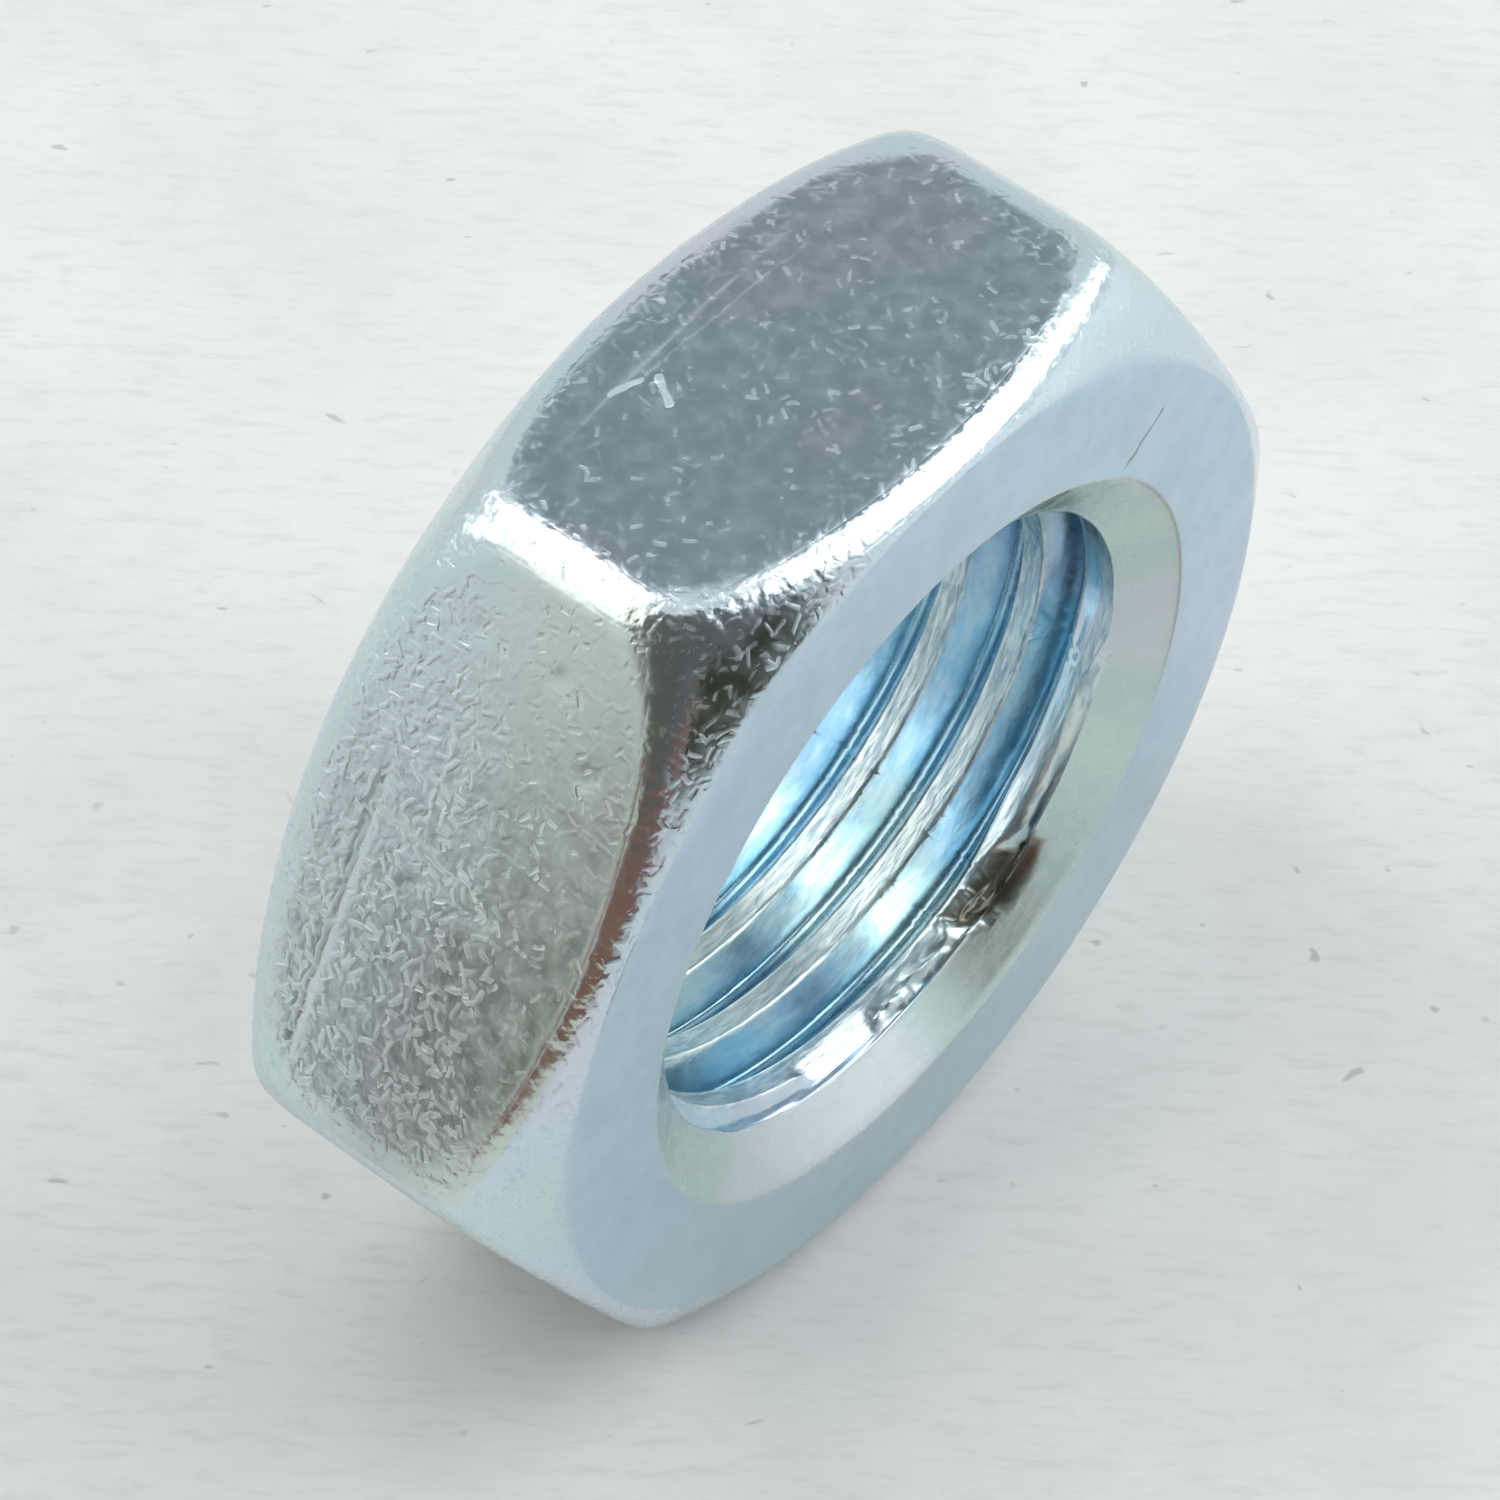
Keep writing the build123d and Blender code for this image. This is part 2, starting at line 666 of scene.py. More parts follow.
@dataclass
class SurfaceRelief:
    """Shallow marks that handling, forming and cutting leave in the metal."""

    form: HexagonForm
    sway: float = 0.016
    ripple: float = 0.006
    step_depth: float = 0.05
    dent_depth: float = 0.05
    nick: Point = (-9.1, -3.5, 15.6)
    folds: tuple[tuple[int, Span, Span], ...] = (
        (Flat.UPPER_LEFT, (-1.0, 2.8), (8.2, 2.6)),
        (Flat.TOP, (8.0, 2.9), (-3.5, 3.5)),
        (Flat.BOTTOM, (-5.0, -2.6), (3.0, -2.9)),
        (Flat.LOWER_RIGHT, (-7.0, 2.2), (1.0, 2.6)),
    )

    def flat_frame(self, points: Array) -> tuple[Array, Array]:
        """Place points on the flats.

        Args:
            points: Array of shape (n, 3).

        Returns:
            The number of the nearest flat, counted from the one at 30 degrees, and the
            distance along it.
        """
        angles = bearings(points) % 360.0
        number = np.floor(angles / SIDE_ANGLE).astype(int)
        middle = np.radians(HALF_SIDE + SIDE_ANGLE * number)
        return number, -points[:, 0] * np.sin(middle) + points[:, 2] * np.cos(middle)

    def line_distance(self, along: Array, across: Array, start: Span,
                      end: Span) -> Array:
        """Distance from a straight mark on a flat.

        Args:
            along: Positions along the flat.
            across: Positions along Y.
            start: One end of the mark.
            end: The other end.

        Returns:
            The distance of each position from the mark.
        """
        run = np.array(end) - np.array(start)
        share = ((along - start[0]) * run[0] + (across - start[1]) * run[1]) / (run @ run)
        share = np.clip(share, 0.0, 1.0)
        return np.hypot(along - start[0] - share * run[0], across - start[1] - share * run[1])

    def depth(self, points: Array, flat: Array, outside: Array) -> Array:
        """How far the surface lies below its true form.

        Args:
            points: Array of shape (n, 3).
            flat: 1 on the flats, 0 elsewhere.
            outside: 1 on the flats, chamfers and faces, 0 in the bore.

        Returns:
            Depths in millimetres, 0 or more.
        """
        number, along = self.flat_frame(points)
        across = points[:, 1]
        low = self.sway * (1.0 + lattice_noise(points / 5.0, Seed.SWAY)) / 2.0
        low += self.ripple * (1.0 + lattice_noise(points / 1.3, Seed.RIPPLE)) / 2.0
        marks = np.zeros(len(points))
        # A shallow fold from the cropping of the blank runs near the back edge of the flats.
        for side, start, end in self.folds:
            gap = self.line_distance(along, across, start, end)
            marks += (number == side) * (self.step_depth * 0.5 * bell(gap, 0.13))
        wedge = self.line_distance(along, across, (-0.1, 2.5), (1.0, -1.4))
        marks += (number == Flat.UPPER_LEFT) * (self.dent_depth * 0.5 * bell(wedge, 0.30))
        knock = np.hypot(along - 3.1, across - 2.0)
        marks += (number == Flat.TOP) * (self.dent_depth * bell(knock, 0.32))
        nick = np.linalg.norm(points - np.array([self.nick]), axis=1)
        marks += 1.6 * self.dent_depth * bell(nick, 0.38)
        pits = lattice_noise(points / 0.9, Seed.PITS)
        low += 0.03 * smoothstep(0.78, 0.95, pits)
        return outside * low + flat * marks


def add_mesh(name: str, points: list, faces: list) -> bpy.types.Object:
    """Make a mesh object in the scene.

    Args:
        name: Name of the object and its mesh.
        points: Its points, in metres.
        faces: The numbers of each face's points.

    Returns:
        The object.
    """
    mesh = bpy.data.meshes.new(name)
    mesh.from_pydata(points, [], faces)
    made = bpy.data.objects.new(name, mesh)
    bpy.context.scene.collection.objects.link(made)
    return made


def store(mesh: bpy.types.Mesh, name: str, values: Array) -> None:
    """Store one or three numbers at each point.

    Args:
        mesh: The mesh.
        name: What a material reads them by.
        values: The numbers, in the order of the points.
    """
    single = values.size == len(mesh.vertices)
    stored = mesh.attributes.new(name, "FLOAT" if single else "FLOAT_VECTOR", "POINT")
    stored.data.foreach_set("value" if single else "vector", values.reshape(-1).astype(np.float32))


class Weave:
    """Builds a node tree step by step, so that each finish reads as a list of layers."""

    def __init__(self, name: str) -> None:
        """Start a material with an empty tree.

        Args:
            name: The material's name.
        """
        self.material = bpy.data.materials.new(name)
        self.material.use_nodes = True
        self.tree = self.material.node_tree
        self.tree.nodes.clear()

    def link(self, source: object, target: Socket) -> None:
        """Join a source to an input, or set the input when the source is a plain value.

        Args:
            source: An output socket, a number or a tuple.
            target: The input.
        """
        if isinstance(source, Socket):
            self.tree.links.new(source, target)
        else:
            target.default_value = source

    def node(self, kind: str, **settings: object) -> bpy.types.Node:
        """Add a node.

        Args:
            kind: Its type, without the ShaderNode prefix.
            settings: Properties to set on it.

        Returns:
            The node.
        """
        made = self.tree.nodes.new("ShaderNode" + kind)
        for name, value in settings.items():
            setattr(made, name, value)
        return made

    def place(self) -> Socket:
        """Coordinates that stay with the metal, in metres."""
        return self.node("TexCoord").outputs["Object"]

    def attribute(self, name: str, part: Optional[int] = None) -> Socket:
        """Read a value stored on the mesh.

        Args:
            name: The attribute.
            part: Which of its three parts, or None for a single value.

        Returns:
            The value's socket.
        """
        read = self.node("Attribute", attribute_name=name)
        if part is None:
            return read.outputs["Fac"]
        split = self.node("SeparateXYZ")
        self.tree.links.new(read.outputs["Vector"], split.inputs[0])
        return split.outputs[part]

    def calc(self, operation: str, *parts: object) -> Socket:
        """Work out one number.

        Args:
            operation: The Math node's operation.
            parts: Its inputs, one to three sockets or numbers.

        Returns:
            The result.
        """
        made = self.node("Math", operation=operation)
        for source, target in zip(parts, made.inputs):
            self.link(source, target)
        return made.outputs[0]

    def add_scaled(self, source: object, scale: object, base: object) -> Socket:
        """Add a scaled value to a base.

        Args:
            source: The value to add.
            scale: What it is multiplied by.
            base: What it is added to.

        Returns:
            The sum.
        """
        return self.calc("MULTIPLY_ADD", source, scale, base)

    def vector(self, operation: str, *parts: object, out: int = 0) -> Socket:
        """Combine vectors.

        Args:
            operation: The name of the vector maths operation.
            parts: Its inputs, as sockets or plain vectors.
            out: Which output to use: 0 for a vector, 1 for a number.

        Returns:
            The result.
        """
        made = self.node("VectorMath", operation=operation)
        for source, target in zip(parts, made.inputs):
            self.link(source, target)
        return made.outputs[out]

    def dashes(self, place: Socket, size: float, reach: float, width: float,
               pick: Span) -> Socket:
        """Short straight dashes that lie in the surface, each in a direction of its own.

        Args:
            place: Coordinates in metres.
            size: Spacing of the dashes in millimetres.
            reach: Half of a dash's length in millimetres.
            width: Half of a dash's width in millimetres.
            pick: Where a cell's random value, 0 to 0.87, starts to show and shows fully.

        Returns:
            Up to 1 on a dash, 0 between them.
        """
        cell = self.node("TexVoronoi", voronoi_dimensions="3D", feature="F1")
        self.tree.links.new(place, cell.inputs["Vector"])
        cell.inputs["Scale"].default_value = 1.0 / (size * MM)
        gap = self.vector("SUBTRACT", place, cell.outputs["Position"])
        spin = self.vector("SUBTRACT", cell.outputs["Color"], MID_GREY)
        upright = self.node("TexCoord").outputs["Normal"]
        side = self.vector("NORMALIZE", self.vector("CROSS_PRODUCT", upright, spin))
        ahead = self.vector("CROSS_PRODUCT", upright, side)
        off = self.calc("ABSOLUTE", self.vector("DOT_PRODUCT", gap, side, out=1))
        run = self.calc("ABSOLUTE", self.vector("DOT_PRODUCT", gap, ahead, out=1))
        body = self.ramp(off, 0.15 * width * MM, width * MM, 1.0, 0.0)
        body = self.calc("MULTIPLY", body, self.ramp(run, 0.6 * reach * MM, reach * MM, 1.0, 0.0))
        return self.calc("MULTIPLY", body, self.ramp(self.vector("LENGTH", spin, out=1), *pick))

    def scratch(self, place: Socket, mark: "Scratch") -> Socket:
        """One straight mark.

        Args:
            place: Coordinates in metres.
            mark: The mark.

        Returns:
            1 on the mark, 0 off it.
        """
        start, end = Vector(mark.start) * MM, Vector(mark.end) * MM
        run = end - start
        gap = self.vector("SUBTRACT", place, tuple(start))
        share = self.vector("DOT_PRODUCT", gap, tuple(run / run.length_squared), out=1)
        share = self.calc("MINIMUM", self.calc("MAXIMUM", share, 0.0), 1.0)
        along = self.node("VectorMath", operation="SCALE")
        along.inputs[0].default_value = tuple(run)
        self.tree.links.new(share, along.inputs["Scale"])
        off = self.vector("LENGTH", self.vector("SUBTRACT", gap, along.outputs[0]), out=1)
        return self.ramp(off, 0.3 * mark.width * MM, mark.width * MM, 1.0, 0.0)

    def warp(self, place: Socket, size: float, reach: float) -> Socket:
        """Bend the coordinates a little, so that straight shapes come out uneven.

        Args:
            place: Coordinates in metres.
            size: Width of a bend in millimetres.
            reach: How far a point moves in millimetres.

        Returns:
            The bent coordinates.
        """
        made = self.node("TexNoise", noise_dimensions="3D")
        self.tree.links.new(place, made.inputs["Vector"])
        made.inputs["Scale"].default_value = 1.0 / (size * MM)
        made.inputs["Detail"].default_value = 0.0
        push = self.vector("SUBTRACT", made.outputs["Color"], MID_GREY)
        return self.vector("MULTIPLY_ADD", push, (2.0 * reach * MM,) * 3, place)

    def noise(self, place: Socket, size: float, detail: float = 2.0, rough: float = 0.5,
              warp: float = 0.0, stretch: Optional[Point] = None) -> Socket:
        """Soft noise.

        Args:
            place: Coordinates in metres.
            size: Width of a blob in millimetres.
            detail: How many finer layers it has.
            rough: How strong the finer layers are.
            warp: How much it is distorted.
            stretch: How much longer it is along each axis.

        Returns:
            Values around 0.5.
        """
        if stretch is not None:
            shaped = self.node("Mapping", vector_type="POINT")
            shaped.inputs["Scale"].default_value = tuple(1.0 / part for part in stretch)
            self.tree.links.new(place, shaped.inputs["Vector"])
            place = shaped.outputs[0]
        made = self.node("TexNoise", noise_dimensions="3D")
        self.tree.links.new(place, made.inputs["Vector"])
        made.inputs["Scale"].default_value = 1.0 / (size * MM)
        made.inputs["Detail"].default_value = detail
        made.inputs["Roughness"].default_value = rough
        made.inputs["Distortion"].default_value = warp
        return made.outputs["Fac"]

    def ramp(self, source: Socket, low: float, high: float, start: float = 0.0,
             end: float = 1.0) -> Socket:
        """Ease a value from one range to another.

        Args:
            source: The value.
            low: Where the result is start.
            high: Where the result is end.
            start: Result at low.
            end: Result at high.

        Returns:
            The eased value.
        """
        made = self.node("MapRange", interpolation_type="SMOOTHSTEP", clamp=True)
        for value, target in zip((source, low, high, start, end), made.inputs):
            self.link(value, target)
        return made.outputs[0]

    def tint(self, share: object, first: object, second: object) -> Socket:
        """Mix two colours.

        Args:
            share: 0 for the first, 1 for the second.
            first: A colour or a socket.
            second: A colour or a socket.

        Returns:
            The mixed colour.
        """
        made = self.node("Mix", data_type="RGBA", blend_type="MIX", clamp_factor=True)
        # The node's colour sockets come after those for numbers and vectors.
        self.link(share, made.inputs[0])
        self.link(first, made.inputs[6])
        self.link(second, made.inputs[7])
        return made.outputs[2]

    def bump(self, shader: bpy.types.Node, height: Socket, distance: float) -> None:
        """Give a shader fine relief.

        Args:
            shader: The shader.
            height: The relief.
            distance: Metres that a height of 1 stands for.
        """
        made = self.node("Bump")
        made.inputs["Distance"].default_value = distance
        self.tree.links.new(height, made.inputs["Height"])
        self.tree.links.new(made.outputs[0], shader.inputs["Normal"])

    def finish(self, shader: bpy.types.Node) -> bpy.types.Material:
        """Send the shader to the surface, and return the material."""
        self.tree.links.new(shader.outputs[0], self.node("OutputMaterial").inputs["Surface"])
        return self.material


def on_flat(number: Flat, along: float, across: float, reach: float = 16.0) -> Point:
    """Turn a position on a flat into a point.

    Args:
        number: The flat.
        along: Distance along it.
        across: Position along Y.
        reach: The flat's distance from the bore's axis.

    Returns:
        The point.
    """
    middle = math.radians(HALF_SIDE + SIDE_ANGLE * number)
    return (reach * math.cos(middle) - along * math.sin(middle), across,
            reach * math.sin(middle) + along * math.cos(middle))


def on_face(angle: float, radius: float, depth: float = -5.5) -> Point:
    """Turn a position on a bearing face into a point."""
    turned = math.radians(angle)
    return radius * math.cos(turned), depth, radius * math.sin(turned)


@dataclass(frozen=True)
class Scratch:
    """One straight mark in the metal.

    Lengths are millimetres, its height is in thousandths of a millimetre, and dirt is how
    dark it is.
    """

    start: Point
    end: Point
    width: float
    height: float
    dirt: float = 0.0

    @property
    def dullness(self) -> float:
        """How matt the mark is, from 0 to 1."""
        return min(1.0, abs(self.height) / 6.0)


def flat_scratch(number: Flat, start: Span, end: Span, width: float, height: float,
                 dirt: float = 0.0) -> Scratch:
    """Lay a scratch on a flat.

    Args:
        number: The flat.
        start: One end, as a distance along the flat and a position along Y.
        end: The other end.
        width: Half of its width.
        height: How far it stands up, below 0 for a cut.
        dirt: How dark it is.

    Returns:
        The scratch.
    """
    return Scratch(on_flat(number, *start), on_flat(number, *end), width, height, dirt)


@dataclass(frozen=True)
class Marks:
    """The marks in the surface, as sockets: patches, dashes, scratches, heights and dirt."""

    patchy: Socket
    raised: Socket
    sunk: Socket
    lines: Socket
    cuts: Socket
    dirt: Socket


@dataclass(frozen=True)
class ZincPlate:
    """Bright zinc plating under a clear blue passivation film."""

    film: Colour = (0.62, 0.73, 0.80, 1.0)
    face: Colour = (0.54, 0.68, 0.81, 1.0)
    veil: Colour = (0.485, 0.625, 0.745, 1.0)
    flat: Colour = (0.65, 0.76, 0.80, 1.0)
    sink: Colour = (0.555, 0.67, 0.665, 1.0)
    flank: Colour = (0.50, 0.72, 0.86, 1.0)
    flank_pale: Colour = (0.64, 0.80, 0.89, 1.0)
    # The root colours are painted shade: a deeper, darker blue at the bottom of the groove.
    root: Colour = (0.27, 0.50, 0.66, 1.0)
    root_pale: Colour = (0.40, 0.66, 0.80, 1.0)
    crest: Colour = (0.40, 0.55, 0.62, 1.0)
    crest_pale: Colour = (0.74, 0.84, 0.85, 1.0)
    pink: Colour = (0.74, 0.70, 0.80, 1.0)
    # Green is a tint of the film, and on the left flat also a painted reflection.
    green: Colour = (0.66, 0.75, 0.68, 1.0)
    # Brown for dirt in the scratches and for painted shade and a painted dark reflection.
    dirt_and_shade: Colour = (0.20, 0.17, 0.12, 1.0)
    mark_dullness: float = 0.235
    dash_height: float = 9.0
    fleck_depth: float = 6.0
    scratches: tuple[Scratch, ...] = (
        flat_scratch(Flat.UPPER_LEFT, (-0.7, 2.8), (6.9, 2.79), 0.13, 7.0),
        flat_scratch(Flat.UPPER_LEFT, (-0.2, 2.6), (-0.1, 1.2), 0.20, 7.0),
        flat_scratch(Flat.UPPER_LEFT, (0.0, 1.4), (0.35, -0.2), 0.10, -9.0, 0.25),
        flat_scratch(Flat.TOP, (2.75, 2.45), (3.29, 1.65), 0.17, 16.0),
        flat_scratch(Flat.TOP, (4.13, 2.98), (3.1, 2.75), 0.14, 6.0),
        flat_scratch(Flat.TOP, (3.1, 2.75), (-3.3, 2.55), 0.08, 1.8),
        flat_scratch(Flat.BOTTOM, (-3.0, -1.0), (1.5, 0.6), 0.07, -8.0),
        flat_scratch(Flat.UPPER_RIGHT, (-5.0, 1.8), (2.0, 2.1), 0.07, 8.0),
        Scratch(on_face(48.8, 12.1), on_face(46.7, 14.0), 0.10, -10.0, 0.6),
        Scratch(on_face(250.0, 12.6, 5.5), on_face(262.0, 14.6, 5.5), 0.08, -8.0),
    )

    def colour(self, weave: Weave, place: Socket, marks: Marks) -> Socket:
        """Layer the film's colours, with the painted shade and reflections.

        Args:
            weave: The tree being built.
            place: Coordinates in metres.
            marks: The marks in the surface.

        Returns:
            The colour.
        """
        veil = weave.ramp(weave.noise(place, 1.6, detail=4.0, rough=0.65), 0.35, 0.65)
        streak = weave.noise(place, 0.16, rough=0.6, warp=0.4, stretch=(6.0, 1.0, 6.0))
        fine = weave.ramp(streak, 0.38, 0.62)
        dirt_and_shade = weave.calc("MAXIMUM", weave.attribute("tone", Tone.DIRT_AND_SHADE), marks.dirt)
        colour: object = self.film
        for share, layer in (
            (weave.attribute("outer", Zone.FACE), weave.tint(veil, self.face, self.veil)),
            (weave.attribute("outer", Zone.FLAT), self.flat),
            (weave.attribute("inner", Inside.SINK), self.sink),
            (weave.attribute("inner", Inside.FLANK),
             weave.tint(fine, self.flank, self.flank_pale)),
            # The root layer is painted shade: a deeper blue at the bottom of the groove.
            (weave.attribute("root"), weave.tint(fine, self.root, self.root_pale)),
            (weave.attribute("inner", Inside.CREST),
             weave.tint(fine, self.crest, self.crest_pale)),
            # The green layer holds a painted reflection on the left flat, and the brown layer dirt,
            # painted shade and a painted reflection.
            (weave.attribute("tone", Tone.GREEN), self.green),
            (weave.attribute("tone", Tone.PINK), self.pink),
            (dirt_and_shade, self.dirt_and_shade),
        ):
            colour = weave.tint(share, colour, layer)
        return colour

    def marks(self, weave: Weave, place: Socket) -> Marks:
        """Scatter the tumbling marks and draw the scratches.

        Args:
            weave: The tree being built.
            place: Coordinates in metres.

        Returns:
            The marks.
        """
        patchy = weave.noise(place, 0.75, detail=1.0)
        bent = weave.warp(place, 0.45, 0.10)
        cover = weave.ramp(patchy, 0.34, 0.56, 0.55, 1.0)
        cover = weave.calc("MULTIPLY", cover, weave.attribute("wear", Wear.STROKES))
        strokes = weave.dashes(bent, size=0.48, reach=0.30, width=0.11, pick=(0.26, 0.54))
        raised = weave.calc("MULTIPLY", strokes, cover)
        nicked = weave.ramp(patchy, 0.46, 0.60)
        nicks = weave.add_scaled(nicked, weave.attribute("wear", Wear.FLECKS), cover)
        apart = weave.vector("ADD", bent, (3.0 * MM, 5.0 * MM, 7.0 * MM))
        flecks = weave.dashes(apart, size=0.46, reach=0.22, width=0.10, pick=(0.36, 0.62))
        sunk = weave.calc("MULTIPLY", flecks, nicks)
        lines: object = 0.0
        cuts: object = 0.0
        dirt: object = 0.0
        for mark in self.scratches:
            mask = weave.scratch(bent, mark)
            lines = weave.add_scaled(mask, mark.dullness, lines)
            cuts = weave.add_scaled(mask, mark.height, cuts)
            if mark.dirt > 0.0:
                dirt = weave.add_scaled(mask, mark.dirt, dirt)
        return Marks(patchy, raised, sunk, lines, cuts, dirt)

    def roughness(self, weave: Weave, place: Socket, marks: Marks) -> Socket:
        """Layer how dull each zone is.

        Args:
            weave: The tree being built.
            place: Coordinates in metres.
            marks: The marks in the surface.

        Returns:
            The roughness.
        """
        mottle = weave.noise(place, 0.7, detail=3.0)
        dull = weave.ramp(mottle, 0.3, 0.7, 0.13, 0.21)
        for name, part, rise in (("outer", Zone.FACE, 0.16), ("inner", Inside.SINK, 0.10),
                                 ("inner", Inside.CREST, 0.20), ("root", None, 0.10)):
            dull = weave.add_scaled(weave.attribute(name, part), rise, dull)
        worn = weave.calc("ADD", marks.raised, weave.add_scaled(marks.sunk, 0.6, marks.lines))
        return weave.add_scaled(weave.calc("MINIMUM", worn, 1.0), self.mark_dullness, dull)

    def height(self, weave: Weave, place: Socket, marks: Marks) -> Socket:
        """Layer the fine relief, in thousandths of a millimetre.

        Args:
            weave: The tree being built.
            place: Coordinates in metres.
            marks: The marks in the surface.

        Returns:
            The height.
        """
        height = weave.add_scaled(marks.raised, self.dash_height, marks.cuts)
        height = weave.add_scaled(marks.sunk, -self.fleck_depth, height)
        edges = weave.add_scaled(weave.attribute("wear", Wear.SWELL), 44.0, 1.6)
        swell = weave.add_scaled(weave.attribute("wear", Wear.STROKES), 9.0, edges)
        height = weave.add_scaled(weave.noise(place, 0.40, detail=1.6), swell, height)
        height = weave.add_scaled(marks.patchy, 1.5, height)
        turning = weave.noise(place, 0.20, rough=0.6, warp=0.4, stretch=(4.0, 1.0, 4.0))
        lay = weave.calc("MULTIPLY", weave.attribute("inner", Inside.SINK), 4.0)
        lay = weave.add_scaled(weave.attribute("inner", Inside.FLANK), 9.0, lay)
        lay = weave.add_scaled(weave.attribute("inner", Inside.CREST), 30.0, lay)
        return weave.add_scaled(turning, lay, height)

    def material(self, name: str) -> bpy.types.Material:
        """Make the material.

        Args:
            name: Its name.

        Returns:
            The material.
        """
        weave = Weave(name)
        place = weave.place()
        shader = weave.node("BsdfPrincipled")
        shader.inputs["Metallic"].default_value = 1.0
        marks = self.marks(weave, place)
        weave.link(self.colour(weave, place, marks), shader.inputs["Base Color"])
        weave.link(self.roughness(weave, place, marks), shader.inputs["Roughness"])
        weave.bump(shader, self.height(weave, place, marks), MM * MM)
        return weave.finish(shader)


@dataclass
class JamNut:
    """The nut as one closed mesh: rings of points around its section, turned about the bore."""

    form: HexagonForm
    bore: ThreadedBore
    finish: ZincPlate
    side_columns: int = 80
    bore_rows: int = 108
    rim_round: float = 0.10
    face_steps: tuple[float, ...] = (0.10, 0.22, 0.35, 0.49, 0.62, 0.74, 0.84, 0.92, 1.0)
    slope_steps: tuple[float, ...] = (0.2, 0.4, 0.6, 0.8, 1.0)
    edge_steps: tuple[float, ...] = (0.27, 0.16, 0.07, 0.0)
    edge_gap: float = 0.13
    edge_split: float = 0.1
    flat_edge_steps: tuple[float, ...] = (0.09, 0.20, 0.33, 0.50)
    flat_rows: int = 40
    fold_share: float = 0.62

    def columns(self) -> Array:
        """Place the columns closer together at the hexagon's corners.

        Returns:
            Their angles around the bore.
        """
        spots = np.linspace(0.0, SIDE_ANGLE, 1201)
        off = np.minimum(spots, SIDE_ANGLE - spots)
        one_side = spaced(spots, 1.0 + 2.0 * bell(off, 3.2), self.side_columns, closed=False)
        return np.concatenate([one_side + SIDE_ANGLE * side for side in range(SIDES)])

    def flat_shares(self) -> Array:
        """Place the rows across a flat closer together at the fold line.

        Returns:
            Their positions, from -1 in front to 1 behind.
        """
        spots = np.linspace(-1.0, 1.0, 801)
        weight = 1.0 + 2.4 * bell(spots - self.fold_share, 0.08)
        return spaced(spots, weight, self.flat_rows + 2)[1:-1]

    def outer_section(self, angles: Array) -> tuple[Array, Array, list[Zone]]:
        """Sharp section of the outside, from the front rim to the back rim.

        Args:
            angles: Angles of the columns.

        Returns:
            The radii and the positions along Y, each of shape (rows, columns), and each row's zone.
        """
        reach = self.form.reach(angles)
        rim = self.bore.mouth_radius + self.rim_round
        slope = math.tan(math.radians(self.form.chamfer_angle))
        radii: list[Array] = []
        ends: list[Array] = []
        zones: list[Zone] = []
        for step in self.face_steps:
            radii.append(np.full_like(reach, rim + (self.form.bearing - rim) * step))
            zones.append(Zone.FACE)
        first_edge = self.edge_steps[0] + self.edge_gap
        for step in self.slope_steps:
            radii.append(self.form.bearing + (reach - first_edge - self.form.bearing) * step)
            zones.append(Zone.CHAMFER)
        for step in self.edge_steps:
            radii.append(reach - step)
            zones.append(Zone.CHAMFER if step > self.edge_split else Zone.FLAT)
        for radius in radii:
            ends.append(self.form.half - np.clip(radius - self.form.bearing, 0.0, None) * slope)
        for step in self.flat_edge_steps:
            radii.append(reach)
            ends.append(ends[len(self.face_steps + self.slope_steps + self.edge_steps) - 1] - step)
            zones.append(Zone.FLAT)
        last = ends[-1]
        front = [-end for end in ends]
        middle = [last * share for share in self.flat_shares()]
        rows_r = radii + [reach] * self.flat_rows + radii[::-1]
        rows_y = front + middle + ends[::-1]
        zones = zones + [Zone.FLAT] * self.flat_rows + zones[::-1]
        return np.array(rows_r), np.array(rows_y), zones

    def build(self) -> bpy.types.Object:
        """Build the mesh and store its zones.

        Returns:
            The object.
        """
        angles = self.columns()
        count = len(angles)
        turned = np.radians(angles)
        outer_r, outer_y, zones = self.outer_section(angles)

        def place(radii: Array, depths: Array) -> Array:
            """Points of one or more rings."""
            return np.stack([radii * np.cos(turned), depths, radii * np.sin(turned)], axis=-1)

        def ring(radius: float, depth: float) -> Array:
            """One plain ring of points."""
            return place(np.full(count, radius), np.full(count, depth))[None]

        outer = place(outer_r, outer_y)
        outer = self.form.settle(outer.reshape(-1, 3)).reshape(outer.shape)

        lift = math.radians(90.0 - self.bore.countersink_angle / 2.0)
        inset = self.rim_round * math.sin(lift)
        columns = [self.bore.rows(angle, self.bore_rows, inset) for angle in angles]
        bore_y = np.stack(columns, axis=1)
        bore_angles = np.broadcast_to(angles, bore_y.shape)
        bore_r = self.bore.radius(bore_angles, bore_y)
        inner = place(bore_r, bore_y)
        mouth, half = self.bore.mouth_radius, self.form.half
        sag = self.rim_round * math.tan(lift / 2.0) * 0.5
        rings = [ring(mouth + self.rim_round, -half), outer, ring(mouth + self.rim_round, half),
                 ring(mouth, half - sag), inner, ring(mouth, sag - half)]
        grid = np.concatenate(rings)
        inside = [Zone.SINK] + [Zone.THREAD] * self.bore_rows + [Zone.SINK]
        zones = [Zone.FACE] + zones + [Zone.FACE] + inside
        return self.mesh(grid, zones, bore_angles, bore_y)

    def normals(self, grid: Array) -> Array:
        """Outward unit normals of a closed grid.

        Args:
            grid: Points of shape (rows, columns, 3).

        Returns:
            Normals of the same shape.
        """
        along = np.roll(grid, -1, axis=0) - np.roll(grid, 1, axis=0)
        around = np.roll(grid, -1, axis=1) - np.roll(grid, 1, axis=1)
        normal = np.cross(along, around)
        return normal / np.linalg.norm(normal, axis=-1, keepdims=True)

